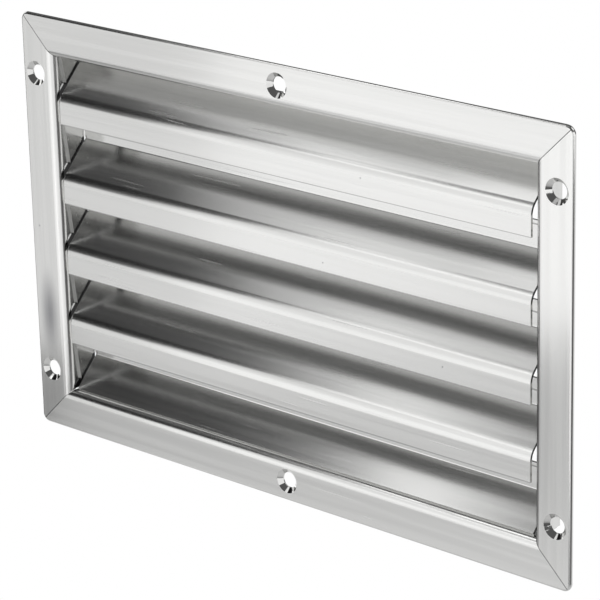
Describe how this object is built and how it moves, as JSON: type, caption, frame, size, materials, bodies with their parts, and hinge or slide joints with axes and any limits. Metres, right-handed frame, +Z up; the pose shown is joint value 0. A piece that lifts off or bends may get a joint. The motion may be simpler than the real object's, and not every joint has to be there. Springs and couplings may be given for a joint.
{
  "type": "louvred sheet metal panel",
  "caption": "folded sheet metal ventilation panel: a mitred frame with countersunk holes that holds sloping louvre blades",
  "frame": {"origin": "middle of the flange's back face, which is also the centre of the four corner screw holes", "axes": "+X along the blades to the right, +Y into the wall, +Z up; the front faces -Y"},
  "size_m": [0.23, 0.0132, 0.15],
  "materials": {
    "frame_steel": "satin, grain along each rail",
    "blade_steel": "satin, grain along the blade"
  },
  "bodies": {
    "root": {"frame_top_rail": "frame_steel", "frame_bottom_rail": "frame_steel", "frame_left_rail": "frame_steel", "frame_right_rail": "frame_steel", "louvre_blade_1": "blade_steel", "louvre_blade_2": "blade_steel", "louvre_blade_3": "blade_steel", "louvre_blade_4": "blade_steel", "louvre_blade_5": "blade_steel"}
  },
  "joints": []
}
